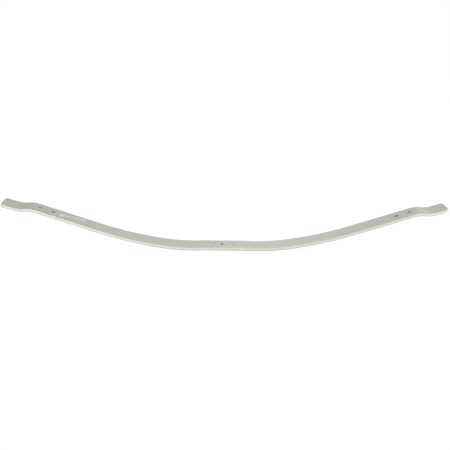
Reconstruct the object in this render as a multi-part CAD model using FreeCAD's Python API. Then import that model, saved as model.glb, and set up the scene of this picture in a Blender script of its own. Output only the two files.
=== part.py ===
"""Single-leaf steel spring with joggled ends, in millimetres.

The leaf is one bar of spring steel. It is cut here into three solids, a centre section and two arms,
at the places where each arm acts as if it were hinged when the leaf bends.
The origin is on the axis of the centre bolt hole, at the lower face. +X runs along the leaf, +Y to its
rear edge and +Z up.
"""
import FreeCAD, Part
import math
import os

from FreeCAD import Vector

# The bar
LEAF_WIDTH = 63.5
LEAF_THICKNESS = 9.1
EDGE_RADIUS = 2.0
TIP_CORNER_RADIUS = 10.0

# The upper face's line, from the middle of the bow out to a tip, with radii on that face and turns in degrees
BOW_MIDDLE_X = 9.0
SEAT_HALF_LENGTH = 45.0
SEAT_EDGE_RADIUS, SEAT_EDGE_TURN = 600.0, 2.1
INNER_BOW_RADIUS, INNER_BOW_TURN = 610.0, 10.5
OUTER_BOW_RADIUS, OUTER_BOW_TURN = 1070.0, 9.9
STRAIGHT_LENGTH = 179.0
JOGGLE_DOWN_RADIUS, JOGGLE_DOWN_TURN = 78.0, 23.5
JOGGLE_UP_RADIUS, JOGGLE_UP_TURN = 79.0, 22.5
TIP_LENGTH = 35.0

# Holes and dimples
CENTRE_HOLE_RADIUS = 4.5
END_HOLE_RADIUS = 5.5
END_HOLE_SPACING = 38.0
OUTER_HOLE_TO_JOGGLE = 7.0
DIMPLE_OFFSET = 29.0
DIMPLE_RADIUS = 10.0
DIMPLE_DEPTH = 1.4

# Where each arm turns against the centre section, along the upper face from the middle of the bow
HINGE_DISTANCE = 127.0
HINGE_TRAVEL = 13.5
KERF = 0.3
KERF_SPARE_ANGLE = 1.5

# How far a cutting tool stands past the bar's faces
CUT_MARGIN = 5.0

# What an arm is made of, from the seat to the tip. A bend is (radius, turn in degrees, 1 where it lifts the
# tip or -1 where it lowers it), and a straight run is (length, 0.0, 0).
ARM_RUNS = [
    (SEAT_EDGE_RADIUS, SEAT_EDGE_TURN, -1),
    (INNER_BOW_RADIUS, INNER_BOW_TURN, 1),
    (OUTER_BOW_RADIUS, OUTER_BOW_TURN, 1),
    (STRAIGHT_LENGTH, 0.0, 0),
    (JOGGLE_DOWN_RADIUS, JOGGLE_DOWN_TURN, -1),
    (JOGGLE_UP_RADIUS, JOGGLE_UP_TURN, 1),
    (TIP_LENGTH, 0.0, 0),
]


def step(x, z, heading, radius, angle, bend):
    """Returns the point and heading after an arc of this radius, turning by angle (radians) up or down."""
    end_heading = heading + bend * angle
    end_x = x + bend * radius * (math.sin(end_heading) - math.sin(heading))
    end_z = z - bend * radius * (math.cos(end_heading) - math.cos(heading))
    return end_x, end_z, end_heading


def arm_line(side, depth):
    """Edges of one arm's line, depth below the upper face, from the end of the flat seat to the tip.

    side is +1 for the right arm and -1 for the left. Also returns the line's first and last points.
    """
    x, z, heading = SEAT_HALF_LENGTH, LEAF_THICKNESS - depth, 0.0

    def place(px, pz):
        return Vector(BOW_MIDDLE_X + side * px, -LEAF_WIDTH / 2, pz)

    first = place(x, z)
    edges = []
    for size, turn, bend in ARM_RUNS:
        start = place(x, z)
        if bend == 0:
            x, z = x + size * math.cos(heading), z + size * math.sin(heading)
            edges.append(Part.LineSegment(start, place(x, z)).toShape())
            continue
        radius = size + bend * depth
        angle = math.radians(turn)
        middle_x, middle_z, _ = step(x, z, heading, radius, angle / 2, bend)
        x, z, heading = step(x, z, heading, radius, angle, bend)
        edges.append(Part.Arc(start, place(middle_x, middle_z), place(x, z)).toShape())
    return edges, first, place(x, z)


def run_length(run):
    """Length of one run of an arm along the upper face."""
    size, turn, bend = run
    return size * math.radians(turn) if bend else size


def upper_point(side, distance):
    """Point on the upper face's centreline, and the face's slope there in radians, rising outwards.

    distance is measured along the face from the middle of the bow.
    """
    x, z, heading = SEAT_HALF_LENGTH, LEAF_THICKNESS, 0.0
    left = distance - SEAT_HALF_LENGTH
    for run in ARM_RUNS:
        size, _, bend = run
        part = min(left, run_length(run))
        if bend:
            x, z, heading = step(x, z, heading, size, part / size, bend)
        else:
            x, z = x + part * math.cos(heading), z + part * math.sin(heading)
        left -= part
    return Vector(BOW_MIDDLE_X + side * x, 0, z), heading


def face_normal(side, slope):
    """Unit vector square to the upper face, pointing up out of the bar."""
    return Vector(-side * math.sin(slope), 0, math.cos(slope))


def end_hole_distances():
    """Distances of the inner and the outer end hole from the middle of the bow, along the upper face."""
    runs_before_joggle = ARM_RUNS[:4]
    outer = SEAT_HALF_LENGTH + sum(run_length(run) for run in runs_before_joggle) - OUTER_HOLE_TO_JOGGLE
    return outer - END_HOLE_SPACING, outer


def bar():
    """The whole bent bar with rounded edges and rounded tip corners, before any hole."""
    edges = []
    tips = []
    for depth in (0.0, LEAF_THICKNESS):
        left_edges, left_first, left_tip = arm_line(-1, depth)
        right_edges, right_first, right_tip = arm_line(1, depth)
        edges += left_edges + right_edges + [Part.LineSegment(left_first, right_first).toShape()]
        tips.append((left_tip, right_tip))
    for upper_tip, lower_tip in zip(*tips):
        edges.append(Part.LineSegment(upper_tip, lower_tip).toShape())
    outline = Part.Wire(Part.__sortEdges__(edges))
    solid = Part.Face(outline).extrude(Vector(0, LEAF_WIDTH, 0))
    return round_face_edges(round_tip_corners(solid, tips))


def round_tip_corners(solid, tips):
    """Rounds the four corners of the two tips, seen in plan."""
    corners = []
    for upper_tip, lower_tip in zip(*tips):
        centre = (upper_tip + lower_tip) / 2
        for edge in solid.Edges:
            middle = edge.CenterOfMass
            in_tip_plane = Vector(middle.x - centre.x, 0, middle.z - centre.z).Length < 0.01
            if in_tip_plane and abs(edge.Length - LEAF_THICKNESS) < 0.01:
                corners.append(edge)
    return solid.makeFillet(TIP_CORNER_RADIUS, corners)


def round_face_edges(solid):
    """Rounds the edges of the upper and lower faces all the way round."""
    edges = []
    for edge in solid.Edges:
        faces = solid.ancestorsOfType(edge, Part.Face)
        if sorted(is_broad_face(face) for face in faces) == [False, True]:
            edges.append(edge)
    return solid.makeFillet(EDGE_RADIUS, edges)


def is_broad_face(face):
    """True for a face that belongs to the bar's upper or lower side, False for its side and end faces."""
    u_low, u_high, v_low, v_high = face.ParameterRange
    normal = face.normalAt((u_low + u_high) / 2, (v_low + v_high) / 2)
    return abs(normal.z) > math.cos(math.radians(45))


def hole(point, up, radius):
    """Cylinder through the bar at a point on the upper face, square to the face."""
    length = LEAF_THICKNESS + 2 * CUT_MARGIN
    return Part.makeCylinder(radius, length, point + up * CUT_MARGIN, -up)


def centre_hole():
    """The hole for the bolt that holds the leaf on its seat."""
    return hole(Vector(0, 0, LEAF_THICKNESS), Vector(0, 0, 1), CENTRE_HOLE_RADIUS)


def end_holes():
    """The two holes near each tip."""
    tools = []
    for side in (-1, 1):
        for distance in end_hole_distances():
            point, slope = upper_point(side, distance)
            tools.append(hole(point, face_normal(side, slope), END_HOLE_RADIUS))
    return tools


def dimples():
    """Balls that press a shallow round dimple in the upper face on each side of the centre hole."""
    ball_radius = (DIMPLE_RADIUS**2 + DIMPLE_DEPTH**2) / (2 * DIMPLE_DEPTH)
    height = LEAF_THICKNESS - DIMPLE_DEPTH + ball_radius
    return [Part.makeSphere(ball_radius, Vector(x, 0, height)) for x in (-DIMPLE_OFFSET, DIMPLE_OFFSET)]


def middle_point(side, distance):
    """Point at the middle of the thickness, and the unit vector up out of the upper face there."""
    point, slope = upper_point(side, distance)
    up = face_normal(side, slope)
    return point - up * (LEAF_THICKNESS / 2), up


def kerf(side):
    """The cut between the centre section and an arm.

    It is a thin saw cut above the hinge line, and a wedge below it, because the lower edges close up as the
    arm comes down.
    """
    point, up = middle_point(side, HINGE_DISTANCE)
    outward = Vector(side * up.z, 0, -side * up.x)
    half = KERF / 2
    reach = LEAF_THICKNESS / 2 + 1.0
    flare = half + reach * math.tan(math.radians(HINGE_TRAVEL + KERF_SPARE_ANGLE))
    corners = [(-half, reach), (half, reach), (half, 0.0), (flare, -reach), (-half, -reach), (-half, reach)]
    front = Vector(0, -LEAF_WIDTH / 2 - CUT_MARGIN, 0)
    wire = Part.makePolygon([point + outward * a + up * b + front for a, b in corners])
    return Part.Face(wire).extrude(Vector(0, LEAF_WIDTH + 2 * CUT_MARGIN, 0))


def print_places():
    """Prints the middles of the holes and the hinge lines, with the bar's upward direction at each."""
    inner, outer = end_hole_distances()
    for name, distance in (("hinge", HINGE_DISTANCE), ("inner hole", inner), ("outer hole", outer)):
        for side in (-1, 1):
            point, up = middle_point(side, distance)
            print(name, side, [round(value, 3) for value in point], [round(value, 5) for value in up])


def main():
    os.makedirs("parts", exist_ok=True)
    cuts = [centre_hole(), *end_holes(), *dimples(), kerf(-1), kerf(1)]
    pieces = sorted(bar().cut(cuts).Solids, key=lambda solid: solid.CenterOfMass.x)
    for name, solid in zip(("left_arm", "centre_section", "right_arm"), pieces, strict=True):
        solid.exportStep(f"parts/{name}.step")
        print(name, round(solid.Volume), "mm3, valid", solid.isValid())
    print_places()


main()
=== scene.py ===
"""Painted single-leaf spring: its visible surfaces, paint, floor, light and camera, in metres."""

import math

import bmesh
import bpy
from mathutils import Matrix, Vector


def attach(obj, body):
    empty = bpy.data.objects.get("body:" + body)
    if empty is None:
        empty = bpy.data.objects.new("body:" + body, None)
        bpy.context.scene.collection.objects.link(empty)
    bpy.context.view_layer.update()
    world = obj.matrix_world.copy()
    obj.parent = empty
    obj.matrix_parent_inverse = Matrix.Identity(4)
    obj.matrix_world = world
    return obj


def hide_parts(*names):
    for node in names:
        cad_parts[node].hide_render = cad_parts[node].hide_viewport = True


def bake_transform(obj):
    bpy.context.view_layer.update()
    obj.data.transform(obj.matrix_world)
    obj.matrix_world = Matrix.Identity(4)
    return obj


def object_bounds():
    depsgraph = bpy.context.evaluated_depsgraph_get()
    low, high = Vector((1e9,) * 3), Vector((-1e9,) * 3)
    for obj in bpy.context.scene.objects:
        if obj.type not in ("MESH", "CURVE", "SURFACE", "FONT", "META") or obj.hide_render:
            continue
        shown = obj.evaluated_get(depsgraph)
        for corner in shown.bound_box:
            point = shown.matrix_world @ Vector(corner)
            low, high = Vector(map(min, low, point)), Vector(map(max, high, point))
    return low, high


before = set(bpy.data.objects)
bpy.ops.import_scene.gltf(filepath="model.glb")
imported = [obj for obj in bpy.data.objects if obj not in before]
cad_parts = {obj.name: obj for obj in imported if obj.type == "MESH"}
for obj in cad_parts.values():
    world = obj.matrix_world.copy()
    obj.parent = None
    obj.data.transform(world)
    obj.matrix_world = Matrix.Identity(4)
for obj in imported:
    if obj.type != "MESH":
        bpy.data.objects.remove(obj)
cad_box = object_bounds()

# ---------------------------------------------------------------- driving dimensions, metres and degrees

LEAF_WIDTH = 0.0635
LEAF_THICKNESS = 0.0091
EDGE_RADIUS = 0.002
TIP_CORNER_RADIUS = 0.010

# The upper face's line from the middle of the bow to a tip. A bend is (radius, turn, 1 where it lifts the tip
# or -1 where it lowers it), and a straight run is (length, 0, 0).
BOW_MIDDLE_X = 0.009
SEAT_HALF_LENGTH = 0.045
ARM_RUNS = [
    (0.600, 2.1, -1),
    (0.610, 10.5, 1),
    (1.070, 9.9, 1),
    (0.179, 0.0, 0),
    (0.078, 23.5, -1),
    (0.079, 22.5, 1),
    (0.035, 0.0, 0),
]
RUNS_BEFORE_JOGGLE = 4

CENTRE_HOLE_RADIUS = 0.0045
END_HOLE_RADIUS = 0.0055
END_HOLE_SPACING = 0.038
OUTER_HOLE_TO_JOGGLE = 0.007
HOLE_LIP = 0.0005
DIMPLE_OFFSET = 0.029
DIMPLE_RADIUS = 0.010
DIMPLE_DEPTH = 0.0014
DIMPLE_LIP_SOFTNESS = 0.07

# The mesh: cells along and across the leaf, and a square patch of finer cells round each hole and dimple
CELL = 0.0045
PATCH_HALF = 0.013
PATCH_CELLS = 12
CELLS_BESIDE_PATCH = 6
CORNER_STEPS = 9
EDGE_STEPS = 6
SIDE_STEPS = 3
LIP_STEPS = 4
# Where rings lie between a patch's square border and its circle, as shares of the way
HOLE_RING_SHARES = (0.35, 0.65, 0.85, 1.0)
PLAIN_RING_SHARES = (0.5, 1.0)
# Radii of the rings of a patch with no hole, as shares of a dimple's radius, from the outermost
PLAIN_OUTER_RING = 1.06
PLAIN_INNER_RINGS = (1.0, 0.94, 0.86, 0.72, 0.56, 0.4, 0.24, 0.1)
# The angle at which a ring starts, so that it is in step with a patch's front left corner
RING_START_DEGREES = -135.0
SHARP_EDGE_DEGREES = 40.0
TINY = 1e-7

# Where the three visible pieces meet, and where a start and an end point are taken on each arm, from the
# middle of the bow
SEAM = 0.060
BEND_START = 0.064
BEND_END = 0.480

# The stage. Each light is (name, azimuth, elevation, distance, size, power in watts), with its azimuth from
# +Y towards +X. The first lights the long front side, and the rest are for the upper face and the right end.
FLOOR_SIZE = 60.0
FLOOR_GREY = 0.05
FLOOR_GLOW = 0.97
WORLD_STRENGTH = 1.0
LIGHT_TARGET = (0.0, 0.0, 0.05)
LIGHTS = [
    ("front_left", -163.0, 6.0, 2.3, 0.9, 20.0),
    ("back_right", 50.0, 12.0, 2.6, 0.9, 32.0),
    ("right_end", 112.0, 3.0, 1.0, 0.3, 0.9),
    ("above_middle", 45.0, 70.6, 0.424, 0.3, 1.0),
    ("above_right", 80.0, 64.0, 1.39, 0.7, 4.3),
]

# The camera, with its angles in degrees
CAMERA_AIM = (0.0079, 0.0, 0.0662)
CAMERA_DISTANCE = 2.2038
CAMERA_AZIMUTH = -1.176
CAMERA_ELEVATION = 18.21
CAMERA_ROLL = 1.015
CAMERA_LENS_MM = 62.0
CAMERA_SENSOR_MM = 36.0


# ---------------------------------------------------------------- the bent line of the leaf


def run_length(run):
    """Length of one run of an arm along the upper face."""
    size, turn, bend = run
    return size * math.radians(turn) if bend else size


ARM_LENGTH = SEAT_HALF_LENGTH + sum(run_length(run) for run in ARM_RUNS)
JOGGLE_START = SEAT_HALF_LENGTH + sum(run_length(run) for run in ARM_RUNS[:RUNS_BEFORE_JOGGLE])
OUTER_HOLE = JOGGLE_START - OUTER_HOLE_TO_JOGGLE
INNER_HOLE = OUTER_HOLE - END_HOLE_SPACING
CENTRE_HOLE = -BOW_MIDDLE_X
DIMPLES = (CENTRE_HOLE - DIMPLE_OFFSET, CENTRE_HOLE + DIMPLE_OFFSET)


def upper_line(distance):
    """Point (x, z) and slope of the upper face at a signed distance from the middle of the bow."""
    side = -1.0 if distance < 0 else 1.0
    left = abs(distance)
    x = min(left, SEAT_HALF_LENGTH)
    z = LEAF_THICKNESS
    heading = 0.0
    left -= x
    for run in ARM_RUNS:
        size, _, bend = run
        part = min(left, run_length(run))
        if part <= 0:
            break
        if bend:
            end_heading = heading + bend * part / size
            x += bend * size * (math.sin(end_heading) - math.sin(heading))
            z -= bend * size * (math.cos(end_heading) - math.cos(heading))
            heading = end_heading
        else:
            x += part * math.cos(heading)
            z += part * math.sin(heading)
        left -= part
    return BOW_MIDDLE_X + side * x, z, side * heading


def bent(distance, across, depth):
    """Where a point of the straight bar lies on the bent leaf."""
    x, z, slope = upper_line(distance)
    return Vector((x + depth * math.sin(slope), across, z - depth * math.cos(slope)))


# ---------------------------------------------------------------- the surface of the straight bar


class BarSurface:
    """Points (distance along, across, depth below the upper face) and the faces between them.

    Each point has two more values from 0 to 1: how much it lies on an edge, and how much painted shade it
    gets in a hole.
    """

    def __init__(self):
        self.points = []
        self.edge = []
        self.hole_shade = []
        self.faces = []

    def point(self, distance, across, depth, edge=0.0, hole_shade=0.0):
        """Adds a point and returns its number."""
        self.points.append((distance, across, depth))
        self.edge.append(edge)
        self.hole_shade.append(hole_shade)
        return len(self.points) - 1

    def strip(self, upper, lower):
        """Faces between two closed rings of the same length."""
        count = len(upper)
        for k in range(count):
            after = (k + 1) % count
            self.faces.append((upper[k], upper[after], lower[after], lower[k]))


def half_width(distance):
    """Half the width of the flat part of a broad face, which narrows at the rounded corners of a tip."""
    flat = LEAF_WIDTH / 2 - EDGE_RADIUS
    into_corner = abs(distance) - (ARM_LENGTH - TIP_CORNER_RADIUS)
    if into_corner <= 0:
        return flat
    radius = TIP_CORNER_RADIUS - EDGE_RADIUS
    reach = min(into_corner / radius, 1.0)
    return flat - radius + radius * math.sqrt(1.0 - reach * reach)


def plan_normal(distance, across):
    """Outward direction, in plan, at the border of the flat part of a broad face."""
    side = math.copysign(1.0, across)
    into_corner = abs(distance) - (ARM_LENGTH - TIP_CORNER_RADIUS)
    if into_corner <= 0:
        return 0.0, side
    sine = min(into_corner / (TIP_CORNER_RADIUS - EDGE_RADIUS), 1.0)
    return math.copysign(sine, distance), side * math.sqrt(1.0 - sine * sine)


def dimple_depth(distance, across):
    """How deep the dimples are pressed at a point of the upper face, with a soft lip round each."""
    depth = 0.0
    for centre in DIMPLES:
        share = 1.0 - ((distance - centre) ** 2 + across**2) / DIMPLE_RADIUS**2
        if share > -1.0:
            depth += DIMPLE_DEPTH * (share + math.sqrt(share * share + DIMPLE_LIP_SOFTNESS**2)) / 2
    return depth


def patch_places():
    """(centre, radius of the hole or None for a dimple, how dark the hole's painted shade is) from left to
    right.
    """
    left_dimple, right_dimple = DIMPLES
    return [
        (-OUTER_HOLE, END_HOLE_RADIUS, 0.3),
        (-INNER_HOLE, END_HOLE_RADIUS, 0.35),
        (left_dimple, None, 0.0),
        (CENTRE_HOLE, CENTRE_HOLE_RADIUS, 0.9),
        (right_dimple, None, 0.0),
        (INNER_HOLE, END_HOLE_RADIUS, 0.6),
        (OUTER_HOLE, END_HOLE_RADIUS, 0.5),
    ]


def spread(start, end, count):
    """Evenly spaced values after start, up to and including end."""
    return [start + (end - start) * k / count for k in range(1, count + 1)]


def stations():
    """Distances of the mesh's cross lines, from the left tip to the right tip."""
    radius = TIP_CORNER_RADIUS - EDGE_RADIUS
    corner_start = ARM_LENGTH - TIP_CORNER_RADIUS
    angles = spread(0.0, math.pi / 2, CORNER_STEPS)
    right_corner = [corner_start + radius * math.sin(angle) for angle in angles]
    left_corner = [-value for value in reversed(right_corner)]
    fixed = [(-corner_start, 0)]
    for centre, _, _ in patch_places():
        fixed.append((centre - PATCH_HALF, 0))
        fixed.append((centre + PATCH_HALF, PATCH_CELLS))
    fixed += [(-SEAM, 0), (SEAM, 0), (corner_start, 0)]
    fixed.sort()
    values = [fixed[0][0]]
    for (start, _), (end, cells) in zip(fixed, fixed[1:]):
        values += spread(start, end, cells or max(1, round((end - start) / CELL)))
    return left_corner + values + right_corner


def across_lines():
    """Places of the mesh's long lines, as shares of the flat half width."""
    flat = LEAF_WIDTH / 2 - EDGE_RADIUS
    values = [-flat]
    values += spread(-flat, -PATCH_HALF, CELLS_BESIDE_PATCH)
    values += spread(-PATCH_HALF, PATCH_HALF, PATCH_CELLS)
    values += spread(PATCH_HALF, flat, CELLS_BESIDE_PATCH)
    return [value / flat for value in values]


def patch_start(along, centre):
    """Number of the cross line on which a patch starts."""
    return along.index(min(along, key=lambda value: abs(value - (centre - PATCH_HALF))))


def ring_angle(k, count):
    """Angle of point k of a ring, in radians."""
    return math.radians(RING_START_DEGREES) + math.tau * k / count


def broad_face(bar, along, across, is_upper):
    """The flat grid of the upper or the lower face, without the patches' cells. Returns its point numbers."""
    depth = 0.0 if is_upper else LEAF_THICKNESS
    grid = []
    for distance in along:
        row = []
        for share in across:
            y = share * half_width(distance)
            dip = dimple_depth(distance, y) if is_upper else 0.0
            row.append(bar.point(distance, y, depth + dip))
        grid.append(row)
    in_patch = set()
    for centre, _, _ in patch_places():
        first = patch_start(along, centre)
        for i in range(PATCH_CELLS):
            in_patch |= {(first + i, CELLS_BESIDE_PATCH + j) for j in range(PATCH_CELLS)}
    for i in range(len(along) - 1):
        for j in range(len(across) - 1):
            if (i, j) not in in_patch:
                bar.faces.append((grid[i][j], grid[i + 1][j], grid[i + 1][j + 1], grid[i][j + 1]))
    return grid


def patch_border(grid, along, centre):
    """Point numbers round a patch, from its front left corner, front side first."""
    first = patch_start(along, centre)
    last = first + PATCH_CELLS
    low, high = CELLS_BESIDE_PATCH, CELLS_BESIDE_PATCH + PATCH_CELLS
    border = [grid[i][low] for i in range(first, last)]
    border += [grid[last][j] for j in range(low, high)]
    border += [grid[i][high] for i in range(last, first, -1)]
    border += [grid[first][j] for j in range(high, low, -1)]
    return border


def circle_ring(bar, centre, radius, depth, edge=0.0, hole_shade=0.0, is_upper=False):
    """A ring of points on a circle, in step with a patch's border."""
    ring = []
    count = 4 * PATCH_CELLS
    for k in range(count):
        angle = ring_angle(k, count)
        distance = centre + radius * math.cos(angle)
        across = radius * math.sin(angle)
        dip = dimple_depth(distance, across) if is_upper else 0.0
        ring.append(bar.point(distance, across, depth + dip, edge, hole_shade))
    return ring


def blended_rings(bar, border, centre, radius, depth, shares, is_upper):
    """Rings between a patch's square border and a circle. The last one is the circle itself."""
    rings = [border]
    count = len(border)
    for share in shares:
        ring = []
        for k, number in enumerate(border):
            angle = ring_angle(k, count)
            distance = bar.points[number][0] * (1 - share) + (centre + radius * math.cos(angle)) * share
            across = bar.points[number][1] * (1 - share) + radius * math.sin(angle) * share
            dip = dimple_depth(distance, across) if is_upper else 0.0
            ring.append(bar.point(distance, across, depth + dip))
        rings.append(ring)
    for outer, inner in zip(rings, rings[1:]):
        bar.strip(outer, inner)
    return rings[-1]


def hole(bar, centre, radius, painted_dark, upper_border, lower_border):
    """A round hole with softened lips, joined to both broad faces' patches."""
    rim = radius + HOLE_LIP
    rings = [blended_rings(bar, upper_border, centre, rim, 0.0, HOLE_RING_SHARES, True)]
    for angle in spread(0.0, math.pi / 2, LIP_STEPS):
        ring_radius = radius + HOLE_LIP * (1 - math.sin(angle))
        depth = HOLE_LIP * (1 - math.cos(angle))
        # The hole's painted shade rises over the lip towards the wall
        hole_shade = painted_dark * math.sin(angle) ** 2
        rings.append(circle_ring(bar, centre, ring_radius, depth, math.sin(2 * angle), hole_shade))
    for depth in spread(HOLE_LIP, LEAF_THICKNESS - HOLE_LIP, SIDE_STEPS):
        rings.append(circle_ring(bar, centre, radius, depth, 0.0, painted_dark))
    for angle in spread(0.0, math.pi / 2, LIP_STEPS)[:-1]:
        ring_radius = radius + HOLE_LIP * (1 - math.cos(angle))
        depth = LEAF_THICKNESS - HOLE_LIP * (1 - math.sin(angle))
        hole_shade = painted_dark * math.cos(angle) ** 2
        rings.append(circle_ring(bar, centre, ring_radius, depth, math.sin(2 * angle), hole_shade))
    rings.append(blended_rings(bar, lower_border, centre, rim, LEAF_THICKNESS, HOLE_RING_SHARES, False))
    for outer, inner in zip(rings, rings[1:]):
        bar.strip(outer, inner)


def plain_patch(bar, border, centre, depth, is_upper):
    """A patch with no hole: rings that close on a middle point. On the upper face it has a dimple's shape."""
    outer_radius = DIMPLE_RADIUS * PLAIN_OUTER_RING
    ring = blended_rings(bar, border, centre, outer_radius, depth, PLAIN_RING_SHARES, is_upper)
    for share in PLAIN_INNER_RINGS:
        inner = circle_ring(bar, centre, DIMPLE_RADIUS * share, depth, is_upper=is_upper)
        bar.strip(ring, inner)
        ring = inner
    dip = dimple_depth(centre, 0.0) if is_upper else 0.0
    middle = bar.point(centre, 0.0, depth + dip)
    for k, number in enumerate(ring):
        bar.faces.append((number, ring[(k + 1) % len(ring)], middle))


def face_border(grid):
    """Point numbers round a whole broad face, front edge first."""
    last_row, last_line = len(grid) - 1, len(grid[0]) - 1
    border = [grid[i][0] for i in range(last_row)]
    border += [grid[last_row][j] for j in range(last_line)]
    border += [grid[i][last_line] for i in range(last_row, 0, -1)]
    border += [grid[0][j] for j in range(last_line, 0, -1)]
    return border


def outer_edge(bar, upper_grid, lower_grid):
    """The rounded edges and the sides all round the bar, between the borders of its two broad faces."""
    upper = face_border(upper_grid)
    outline = []
    for number in upper:
        distance, across, _ = bar.points[number]
        at_tip = abs(distance) > ARM_LENGTH - EDGE_RADIUS - TINY
        normal = (math.copysign(1.0, distance), 0.0) if at_tip else plan_normal(distance, across)
        outline.append((distance, across, normal))

    def ring(offset, depth, edge=0.0):
        return [bar.point(s + offset * n[0], y + offset * n[1], depth, edge) for s, y, n in outline]

    rings = [upper]
    for angle in spread(0.0, math.pi / 2, EDGE_STEPS):
        depth = EDGE_RADIUS * (1 - math.cos(angle))
        rings.append(ring(EDGE_RADIUS * math.sin(angle), depth, math.sin(2 * angle)))
    for depth in spread(EDGE_RADIUS, LEAF_THICKNESS - EDGE_RADIUS, SIDE_STEPS):
        rings.append(ring(EDGE_RADIUS, depth))
    for angle in spread(0.0, math.pi / 2, EDGE_STEPS)[:-1]:
        depth = LEAF_THICKNESS - EDGE_RADIUS * (1 - math.sin(angle))
        rings.append(ring(EDGE_RADIUS * math.cos(angle), depth, math.sin(2 * angle)))
    rings.append(face_border(lower_grid))
    for outer, inner in zip(rings, rings[1:]):
        bar.strip(inner, outer)


def straight_bar():
    """The whole bar before it is bent, with its holes and dimples."""
    bar = BarSurface()
    along = stations()
    across = across_lines()
    upper = broad_face(bar, along, across, True)
    lower = broad_face(bar, along, across, False)
    outer_edge(bar, upper, lower)
    for centre, radius, painted_dark in patch_places():
        upper_border = patch_border(upper, along, centre)
        lower_border = patch_border(lower, along, centre)
        if radius is None:
            plain_patch(bar, upper_border, centre, 0.0, True)
            plain_patch(bar, lower_border, centre, LEAF_THICKNESS, False)
        else:
            hole(bar, centre, radius, painted_dark, upper_border, lower_border)
    return bar


# ---------------------------------------------------------------- the visible pieces


def leaf_piece(bar, name, low, high, material):
    """The stretch of the leaf between two distances, closed by a flat face where it meets its neighbour."""
    numbers = {}
    points = []
    faces = []
    for face in bar.faces:
        middle = sum(bar.points[k][0] for k in face) / len(face)
        if not low < middle < high:
            continue
        for k in face:
            if k not in numbers:
                numbers[k] = len(points)
                points.append(k)
        faces.append([numbers[k] for k in face])
    mesh = bpy.data.meshes.new(name)
    mesh.from_pydata([bent(*bar.points[k]) for k in points], [], faces)
    place = mesh.attributes.new("leaf_place", "FLOAT_VECTOR", "POINT")
    place.data.foreach_set("vector", [value for k in points for value in bar.points[k]])
    # leaf_edge holds how much a point lies on an edge, and leaf_hole_shade how much painted shade it gets in
    # a hole
    for key, values in (("leaf_edge", bar.edge), ("leaf_hole_shade", bar.hole_shade)):
        shares = mesh.attributes.new(key, "FLOAT", "POINT")
        shares.data.foreach_set("value", [values[k] for k in points])
    close_mesh(mesh)
    mesh.polygons.foreach_set("use_smooth", [True] * len(mesh.polygons))
    mesh.set_sharp_from_angle(angle=math.radians(SHARP_EDGE_DEGREES))
    mesh.materials.append(material)
    piece = bpy.data.objects.new(name, mesh)
    bpy.context.scene.collection.objects.link(piece)
    return piece


def close_mesh(mesh):
    """Fills the open ends of a piece and turns all its faces outwards."""
    work = bmesh.new()
    work.from_mesh(mesh)
    open_edges = [edge for edge in work.edges if edge.is_boundary]
    caps = bmesh.ops.holes_fill(work, edges=open_edges, sides=0)["faces"]
    bmesh.ops.triangulate(work, faces=caps, ngon_method="BEAUTY")
    bmesh.ops.recalc_face_normals(work, faces=work.faces)
    work.to_mesh(mesh)
    work.free()


# ---------------------------------------------------------------- materials


class Nodes:
    """Short calls that build a node tree."""

    def __init__(self, tree):
        self.tree = tree
        tree.nodes.clear()

    def add(self, kind, **settings):
        """A new node with these settings."""
        node = self.tree.nodes.new(kind)
        for key, value in settings.items():
            setattr(node, key, value)
        return node

    def join(self, source, target):
        """Links an output to an input."""
        self.tree.links.new(source, target)

    def feed(self, socket, value):
        """Links a socket's source, or sets a number or colour."""
        if isinstance(value, bpy.types.NodeSocket):
            self.join(value, socket)
        else:
            socket.default_value = value

    def math(self, operation, first, second=0.5, third=None):
        """The result of a calculation or comparison."""
        node = self.add("ShaderNodeMath", operation=operation)
        self.feed(node.inputs[0], first)
        self.feed(node.inputs[1], second)
        if third is not None:
            self.feed(node.inputs[2], third)
        return node.outputs[0]

    def scaled(self, vector, scale):
        """A vector stretched by a factor along each axis."""
        node = self.add("ShaderNodeVectorMath", operation="MULTIPLY")
        self.feed(node.inputs[0], vector)
        node.inputs[1].default_value = scale
        return node.outputs[0]

    def noise(self, vector, detail=2.0, roughness=0.5):
        """Noise with one wave per unit of the vector."""
        node = self.add("ShaderNodeTexNoise")
        self.feed(node.inputs["Vector"], vector)
        node.inputs["Scale"].default_value = 1.0
        node.inputs["Detail"].default_value = detail
        node.inputs["Roughness"].default_value = roughness
        return node.outputs["Fac"]

    def ramp(self, value, low, high, to_low=0.0, to_high=1.0):
        """A smooth step from to_low, where value is low, to to_high, where it is high."""
        node = self.add("ShaderNodeMapRange", interpolation_type="SMOOTHSTEP", clamp=True)
        self.feed(node.inputs["Value"], value)
        node.inputs["From Min"].default_value = low
        node.inputs["From Max"].default_value = high
        node.inputs["To Min"].default_value = to_low
        node.inputs["To Max"].default_value = to_high
        return node.outputs["Result"]

    def mix(self, share, first, second):
        """A colour between first and second."""
        node = self.add("ShaderNodeMix", data_type="RGBA")
        self.feed(node.inputs["Factor"], share)
        colours = [socket for socket in node.inputs if socket.type == "RGBA"]
        self.feed(colours[0], first)
        self.feed(colours[1], second)
        return next(socket for socket in node.outputs if socket.type == "RGBA")

    def bump(self, height, distance, strength, normal=None):
        """A normal tilted by a height pattern, on top of another bump's normal if one is given."""
        node = self.add("ShaderNodeBump")
        self.feed(node.inputs["Height"], height)
        node.inputs["Distance"].default_value = distance
        node.inputs["Strength"].default_value = strength
        if normal is not None:
            self.join(normal, node.inputs["Normal"])
        return node.outputs["Normal"]


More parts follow.
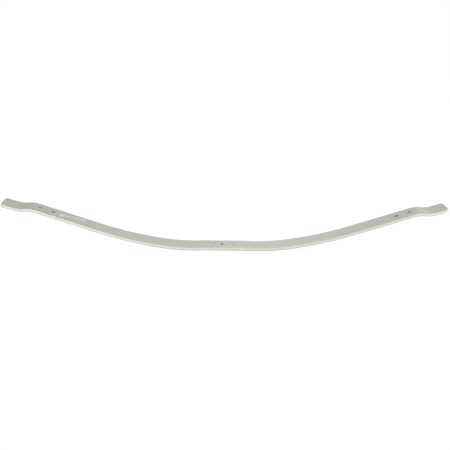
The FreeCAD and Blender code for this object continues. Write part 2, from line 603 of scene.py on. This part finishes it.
# Colours of the paint, its paler painted-in lit sides, dust, marks and painted shade
PAINT_COOL = (0.318, 0.322, 0.306, 1.0)
PAINT_OLIVE = (0.317, 0.323, 0.279, 1.0)
PAINT_THIN = (0.43, 0.43, 0.40, 1.0)
PAINT_SIDE_LIT = (0.60, 0.60, 0.562, 1.0)
PAINT_DUST = (0.25, 0.25, 0.21, 1.0)
PAINTED_HOLE_SHADE = (0.05, 0.05, 0.04, 1.0)
PRINT_WHITE = (0.62, 0.62, 0.59, 1.0)
MARK_AND_SHADE_DARK = (0.16, 0.16, 0.13, 1.0)

# The printed strip on the left arm and the stamped marks on the right arm: where they start along the leaf,
# how long they are, where their middle lies across it, how high they are and how wide one mark is
PRINT_START, PRINT_LENGTH = -0.477, 0.072
PRINT_ACROSS, PRINT_SLANT = -0.008, 0.33
PRINT_HEIGHT, PRINT_MARK = 0.017, 0.0052
STAMP_START, STAMP_LENGTH = 0.340, 0.046
STAMP_ACROSS = -0.020
STAMP_HEIGHT, STAMP_MARK = 0.010, 0.0060
# The first marks of the printed strip are bolder than the rest
PRINT_BOLD_END, PRINT_BOLD_FADE = 0.011, 0.002
BOLD_PRINT_SHARE, FINE_PRINT_SHARE = 0.85, 0.42
# A mark fills this share of its length, and the rest is the gap to the next. It has MARK_ROWS cells each way,
# and about EMPTY_SHARE of them are left out.
MARK_SHARE, EMPTY_SHARE = 0.78, 0.30
MARK_ROWS = 3

# The dark V over each dimple is the front half of a diamond: the diamond's half width and half length, where
# its middle lies across the leaf, and where the dark line runs between its middle (0) and its border (1)
V_WIDTH, V_LENGTH = 0.0120, 0.0270
V_MIDDLE = 0.016
V_LINE = 0.8
# How far from that line the dark is full and where it ends, and where the V fades out towards the rear
V_LINE_FADE = (0.08, 0.32)
V_REAR_FADE = (-0.2, 0.3)

# The painted contact shade on the lower edge of the middle stretch, where it lies near the floor: the depths
# between which it comes in, and the distances from the middle of the bow between which it fades out
CONTACT_SHADE_DEPTHS = (0.0066, 0.0082)
CONTACT_SHADE_REACH = (0.195, 0.215)
# The paler colour painted on the sides, in place of the brighter light they get, starts this far below the
# upper face and ends this far above the lower face
SIDE_MARGIN = 0.0004

# How strongly each layer shows
SIDE_LIGHT_SHARE, DUST_SHARE, GLINT_SHARE, SCRATCH_SHARE = 0.8, 0.30, 0.30, 0.35
WORN_SHARE, V_SHARE, CONTACT_SHADE_SHARE, STAMP_SHARE = 0.5, 0.75, 0.7, 0.45
# How the olive tint changes along +Y and along +X, per metre: it grows towards the front edge and the left
# tip
OLIVE_ALONG_Y, OLIVE_ALONG_X = -14.0, -0.5

# The paint's relief: a texture, its height in metres and its strength
RELIEF = [
    ("streaks", 0.00002, 0.5),
    ("peel", 0.00006, 0.6),
    ("peen", 0.00004, 0.7),
]
PAINT_METALLIC = 0.35
SMOOTH_ROUGHNESS, DULL_ROUGHNESS = 0.40, 0.56


def paint_fields(nodes):
    """The textures that the paint's colour, gloss and relief share, in the leaf's own coordinates."""
    place = nodes.add("ShaderNodeAttribute", attribute_name="leaf_place").outputs["Vector"]
    split = nodes.add("ShaderNodeSeparateXYZ")
    nodes.join(place, split.inputs[0])
    return {
        "along": split.outputs[0],
        "across": split.outputs[1],
        "depth": split.outputs[2],
        "edge": nodes.add("ShaderNodeAttribute", attribute_name="leaf_edge").outputs["Fac"],
        "hole_shade": nodes.add("ShaderNodeAttribute", attribute_name="leaf_hole_shade").outputs["Fac"],
        "broad": nodes.noise(nodes.scaled(place, (7.0, 22.0, 60.0)), 3.0, 0.55),
        "blotches": nodes.noise(nodes.scaled(place, (45.0, 60.0, 60.0)), 4.0, 0.6),
        "streaks": nodes.noise(nodes.scaled(place, (14.0, 900.0, 900.0)), 3.0, 0.6),
        "scratches": nodes.noise(nodes.scaled(place, (25.0, 2600.0, 2600.0)), 2.0, 0.5),
        "speckle": nodes.noise(nodes.scaled(place, (900.0, 900.0, 900.0)), 2.0, 0.6),
        "peen": nodes.noise(nodes.scaled(place, (620.0, 620.0, 620.0)), 1.0, 0.4),
        "peel": nodes.noise(nodes.scaled(place, (210.0, 210.0, 210.0)), 2.0, 0.5),
    }


def block_marks(nodes, fields, start, length, middle, height, mark, slant=0.0):
    """Mask of meaningless block marks inside a strip of the upper face."""
    along = nodes.math("SUBTRACT", fields["along"], start)
    across = nodes.math("SUBTRACT", fields["across"], middle)
    across = nodes.math("SUBTRACT", across, nodes.math("MULTIPLY", along, slant))
    column = nodes.math("DIVIDE", along, mark)
    row = nodes.math("DIVIDE", across, height / MARK_ROWS)
    cell = nodes.add("ShaderNodeCombineXYZ")
    nodes.join(nodes.math("FLOOR", nodes.math("MULTIPLY", column, float(MARK_ROWS))), cell.inputs[0])
    nodes.join(nodes.math("FLOOR", row), cell.inputs[1])
    chance = nodes.add("ShaderNodeTexWhiteNoise", noise_dimensions="2D")
    nodes.join(cell.outputs[0], chance.inputs["Vector"])
    filled = nodes.math("GREATER_THAN", chance.outputs["Value"], EMPTY_SHARE)
    mark_part = nodes.math("LESS_THAN", nodes.math("FRACT", column), MARK_SHARE)
    after_start = nodes.math("GREATER_THAN", along, 0.0)
    before_end = nodes.math("LESS_THAN", along, length)
    in_height = nodes.math("LESS_THAN", nodes.math("ABSOLUTE", across), height / 2)
    inside = nodes.math("MULTIPLY", nodes.math("MULTIPLY", after_start, before_end), in_height)
    return nodes.math("MULTIPLY", inside, nodes.math("MULTIPLY", filled, mark_part))


def dimple_dark_v(nodes, fields, centre):
    """Mask of a dark V painted in and behind a dimple, pointing to the front."""
    along = nodes.math("DIVIDE", nodes.math("SUBTRACT", fields["along"], centre), V_WIDTH)
    across = nodes.math("DIVIDE", nodes.math("SUBTRACT", fields["across"], V_MIDDLE), V_LENGTH)
    diamond = nodes.math("ADD", nodes.math("ABSOLUTE", along), nodes.math("ABSOLUTE", across))
    off_line = nodes.math("ABSOLUTE", nodes.math("SUBTRACT", diamond, V_LINE))
    line = nodes.ramp(off_line, *V_LINE_FADE, 1.0, 0.0)
    front = nodes.ramp(across, *V_REAR_FADE, 1.0, 0.0)
    patchy = nodes.ramp(fields["blotches"], 0.3, 0.6, 0.6, 1.0)
    return nodes.math("MULTIPLY", line, nodes.math("MULTIPLY", front, patchy))


def painted_side_light(nodes, fields):
    """Mask of the two long sides and the tips, where a paler colour is painted in for the brighter light that
    falls on them.
    """
    depth = fields["depth"]
    below_top = nodes.ramp(depth, SIDE_MARGIN, EDGE_RADIUS, 0.0, SIDE_LIGHT_SHARE)
    above_bottom = nodes.ramp(depth, LEAF_THICKNESS - EDGE_RADIUS, LEAF_THICKNESS - SIDE_MARGIN, 1.0, 0.0)
    return nodes.math("MULTIPLY", below_top, above_bottom)


def painted_contact_shade(nodes, fields):
    """Mask of the painted contact shade on the lower edge of the middle stretch, next to what the leaf lies
    on.
    """
    low = nodes.ramp(fields["depth"], *CONTACT_SHADE_DEPTHS)
    middle = nodes.ramp(nodes.math("ABSOLUTE", fields["along"]), *CONTACT_SHADE_REACH, 1.0, 0.0)
    return nodes.math("MULTIPLY", low, middle)


def paint_colour(nodes, fields):
    """Grey-green silver paint with worn edges, dust, pale print, dark stamped marks, dark V marks over the
    dimples, paler painted-in lit sides, and painted shade in the holes and along the middle's lower edge.
    """
    olive = nodes.ramp(fields["broad"], 0.3, 0.7)
    olive = nodes.math("MULTIPLY_ADD", fields["across"], OLIVE_ALONG_Y, olive)
    olive = nodes.math("MULTIPLY_ADD", fields["along"], OLIVE_ALONG_X, olive)
    colour = nodes.mix(nodes.ramp(olive, 0.1, 0.9), PAINT_COOL, PAINT_OLIVE)
    # Painted light: the sides and tips are painted paler, as if more brightly lit
    colour = nodes.mix(painted_side_light(nodes, fields), colour, PAINT_SIDE_LIT)
    dust = nodes.math("MULTIPLY", nodes.ramp(fields["blotches"], 0.52, 0.75), DUST_SHARE)
    colour = nodes.mix(dust, colour, PAINT_DUST)
    glint = nodes.math("MULTIPLY", nodes.ramp(fields["speckle"], 0.55, 0.8), GLINT_SHARE)
    colour = nodes.mix(glint, colour, PAINT_THIN)
    scratch = nodes.math("MULTIPLY", nodes.ramp(fields["scratches"], 0.66, 0.74), SCRATCH_SHARE)
    colour = nodes.mix(scratch, colour, PAINT_THIN)
    worn = nodes.math("MULTIPLY", fields["edge"], nodes.ramp(fields["blotches"], 0.35, 0.6))
    colour = nodes.mix(nodes.math("MULTIPLY", worn, WORN_SHARE), colour, PAINT_THIN)
    for centre in DIMPLES:
        painted_dark = dimple_dark_v(nodes, fields, centre)
        colour = nodes.mix(nodes.math("MULTIPLY", painted_dark, V_SHARE), colour, MARK_AND_SHADE_DARK)
    text = block_marks(
        nodes, fields, PRINT_START, PRINT_LENGTH, PRINT_ACROSS, PRINT_HEIGHT, PRINT_MARK, PRINT_SLANT)
    bold_end = PRINT_START + PRINT_BOLD_END
    bold = nodes.ramp(
        fields["along"], bold_end, bold_end + PRINT_BOLD_FADE, BOLD_PRINT_SHARE, FINE_PRINT_SHARE)
    colour = nodes.mix(nodes.math("MULTIPLY", text, bold), colour, PRINT_WHITE)
    # Painted shade: the lower edge of the middle stretch is darkened where it lies near the floor
    colour = nodes.mix(nodes.math("MULTIPLY", painted_contact_shade(nodes, fields), CONTACT_SHADE_SHARE), colour, MARK_AND_SHADE_DARK)
    stamp = block_marks(nodes, fields, STAMP_START, STAMP_LENGTH, STAMP_ACROSS, STAMP_HEIGHT, STAMP_MARK)
    colour = nodes.mix(nodes.math("MULTIPLY", stamp, STAMP_SHARE), colour, MARK_AND_SHADE_DARK)
    # Painted shade: the hole walls are darkened where little light reaches
    return nodes.mix(fields["hole_shade"], colour, PAINTED_HOLE_SHADE)


def paint_material(name):
    """Silver-grey paint over shot-peened steel. Its pattern is fixed to the leaf and bends with it."""
    material = bpy.data.materials.new(name)
    material.use_nodes = True
    nodes = Nodes(material.node_tree)
    fields = paint_fields(nodes)
    mottle = nodes.math("MULTIPLY_ADD", fields["blotches"], 0.6, nodes.math("MULTIPLY", fields["peel"], 0.4))
    normal = None
    for key, height, strength in RELIEF:
        normal = nodes.bump(fields[key], height, strength, normal)
    shader = nodes.add("ShaderNodeBsdfPrincipled")
    nodes.join(paint_colour(nodes, fields), shader.inputs["Base Color"])
    nodes.join(nodes.ramp(mottle, 0.3, 0.7, SMOOTH_ROUGHNESS, DULL_ROUGHNESS), shader.inputs["Roughness"])
    nodes.join(normal, shader.inputs["Normal"])
    shader.inputs["Metallic"].default_value = PAINT_METALLIC
    output = nodes.add("ShaderNodeOutputMaterial")
    nodes.join(shader.outputs["BSDF"], output.inputs["Surface"])
    return material


def floor_material():
    """White acrylic of a lit table: mostly its own soft glow, so that shadows on it stay faint."""
    material = bpy.data.materials.new("floor_white")
    material.use_nodes = True
    shader = material.node_tree.nodes["Principled BSDF"]
    shader.inputs["Base Color"].default_value = (FLOOR_GREY, FLOOR_GREY, FLOOR_GREY, 1.0)
    shader.inputs["Roughness"].default_value = 0.9
    shader.inputs["Specular IOR Level"].default_value = 0.0
    shader.inputs["Emission Color"].default_value = (1.0, 1.0, 1.0, 1.0)
    shader.inputs["Emission Strength"].default_value = FLOOR_GLOW
    return material


# ---------------------------------------------------------------- stage, light and camera


def add_floor(height):
    """A white floor that reaches past the horizon of the view."""
    half = FLOOR_SIZE / 2
    mesh = bpy.data.meshes.new("floor")
    corners = [(-half, -half, height), (half, -half, height), (half, half, height), (-half, half, height)]
    mesh.from_pydata(corners, [], [(0, 1, 2, 3)])
    mesh.materials.append(floor_material())
    floor = bpy.data.objects.new("floor", mesh)
    bpy.context.scene.collection.objects.link(floor)


def add_world():
    """Even white surroundings."""
    world = bpy.data.worlds.new("studio")
    world.use_nodes = True
    background = world.node_tree.nodes["Background"]
    background.inputs["Color"].default_value = (1.0, 1.0, 1.0, 1.0)
    background.inputs["Strength"].default_value = WORLD_STRENGTH
    bpy.context.scene.world = world


def add_softbox(name, azimuth, elevation, distance, size, power):
    """A square light that faces the leaf's middle."""
    turn, rise = math.radians(azimuth), math.radians(elevation)
    outward = Vector((math.sin(turn) * math.cos(rise), math.cos(turn) * math.cos(rise), math.sin(rise)))
    light = bpy.data.lights.new(name, "AREA")
    light.shape = "SQUARE"
    light.size = size
    light.energy = power
    lamp = bpy.data.objects.new(name, light)
    lamp.location = Vector(LIGHT_TARGET) + outward * distance
    lamp.rotation_euler = (-outward).to_track_quat("-Z", "Y").to_euler()
    lamp.visible_camera = False
    bpy.context.scene.collection.objects.link(lamp)


def add_lights():
    """Soft lights that shape the leaf a little inside the even white surroundings."""
    for light in LIGHTS:
        add_softbox(*light)


def add_camera():
    """A view of the leaf from the front and a little above, with a slight roll."""
    azimuth, elevation = math.radians(CAMERA_AZIMUTH), math.radians(CAMERA_ELEVATION)
    aim = Vector(CAMERA_AIM)
    level = math.cos(elevation)
    back = Vector((math.sin(azimuth) * level, -math.cos(azimuth) * level, math.sin(elevation)))
    right = Vector((0, 0, 1)).cross(back).normalized()
    up = back.cross(right)
    turn = Matrix.Rotation(math.radians(CAMERA_ROLL), 3, back)
    axes = Matrix((turn @ right, turn @ up, back)).transposed()
    data = bpy.data.cameras.new("camera")
    data.lens = CAMERA_LENS_MM
    data.sensor_width = CAMERA_SENSOR_MM
    camera = bpy.data.objects.new("camera", data)
    camera.matrix_world = Matrix.Translation(aim + back * CAMERA_DISTANCE) @ axes.to_4x4()
    bpy.context.scene.collection.objects.link(camera)
    bpy.context.scene.camera = camera


# ---------------------------------------------------------------- build


def build_leaf():
    """The three visible pieces, each standing for one CAD node."""
    bar = straight_bar()
    paint = paint_material("silver_paint")
    pieces = {
        "left_arm": leaf_piece(bar, "leaf_left_arm", -ARM_LENGTH, -SEAM, paint),
        "centre_section": leaf_piece(bar, "leaf_centre", -SEAM, SEAM, paint),
        "right_arm": leaf_piece(bar, "leaf_right_arm", SEAM, ARM_LENGTH, paint),
    }
    for node, piece in pieces.items():
        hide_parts(node)
    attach(pieces["centre_section"], "centre")
    for side, body in ((-1, "left"), (1, "right")):
        start = bent(side * BEND_START, 0.0, LEAF_THICKNESS / 2)
        end = bent(side * BEND_END, 0.0, LEAF_THICKNESS / 2)
        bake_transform(pieces[body + "_arm"])


def main():
    build_leaf()
    add_floor(cad_box[0].z)
    add_world()
    add_lights()
    add_camera()
    bpy.context.scene.view_settings.view_transform = "Standard"


main()
